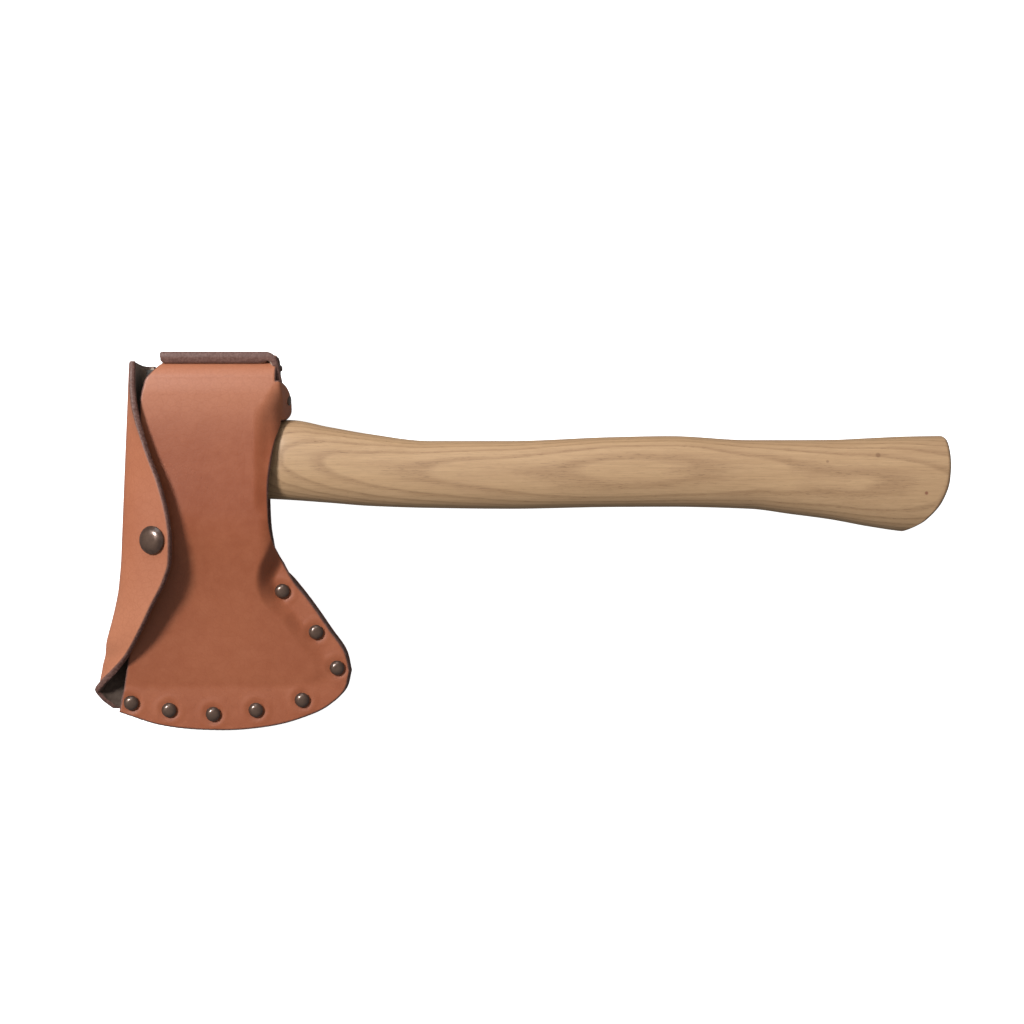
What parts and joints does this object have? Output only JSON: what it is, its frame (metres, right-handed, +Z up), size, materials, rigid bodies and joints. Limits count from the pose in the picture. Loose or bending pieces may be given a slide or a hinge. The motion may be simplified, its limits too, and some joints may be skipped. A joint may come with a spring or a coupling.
{
  "type": "sheathed hand axe",
  "caption": "Short-handled felling-pattern axe, its head closed in a riveted leather sheath with a snap flap.",
  "frame": {"origin": "under the middle of the axe's eye, on the flat underside of the sheath's back panel", "axes": "+X along the haft towards its butt, +Y towards the poll, +Z up out of the sheath's front panel"},
  "size_m": [0.3845, 0.1688, 0.0439],
  "materials": {
    "forged_steel": "dark forged steel, brighter near the edge",
    "ash_wood": "oiled pale ash with straight grain",
    "wedge_wood": "plain hardwood end grain",
    "russet_leather": "waxed vegetable-tanned leather, dark cut edges",
    "dark_bronze": "darkened bronze, worn bright on the domes"
  },
  "bodies": {
    "axe_in_sheath": {"axe_head": "forged_steel", "haft": "ash_wood", "eye_wedge": "wedge_wood", "steel_wedge": "forged_steel", "sheath_front": "russet_leather", "sheath_back": "russet_leather", "edge_welt": "russet_leather", "rivet_cap_1": "dark_bronze", "rivet_cap_2": "dark_bronze", "rivet_cap_3": "dark_bronze", "rivet_cap_4": "dark_bronze", "rivet_cap_5": "dark_bronze", "rivet_cap_6": "dark_bronze", "rivet_cap_7": "dark_bronze", "rivet_cap_8": "dark_bronze", "rivet_post_1": "dark_bronze", "rivet_post_2": "dark_bronze", "rivet_post_3": "dark_bronze", "rivet_post_4": "dark_bronze", "rivet_post_5": "dark_bronze", "rivet_post_6": "dark_bronze", "rivet_post_7": "dark_bronze", "rivet_post_8": "dark_bronze", "ear_rivet_cap": "dark_bronze", "ear_rivet_post": "dark_bronze", "snap_stud": "dark_bronze", "snap_base": "dark_bronze"},
    "flap_wall": {"flap_side": "russet_leather"},
    "flap_cover": {"flap_front": "russet_leather", "snap_cap": "dark_bronze", "snap_socket": "dark_bronze"}
  },
  "joints": [
    {"name": "flap_fold", "type": "hinge", "parent": "axe_in_sheath", "child": "flap_wall", "pos_m": [-0.02808, 0, 0.00345], "axis": [-0.0637, -0.9955, 0.0697], "range_deg": [0, 110]},
    {"name": "flap_curl", "type": "hinge", "parent": "flap_wall", "child": "flap_cover", "pos_m": [-0.03232, 0, 0.02799], "axis": [-0.0449, -0.9987, -0.0224], "range_deg": [0, 50]}
  ],
  "couplings": [
    {"joint": "flap_curl", "follows": "flap_fold", "ratio": 0.45}
  ]
}
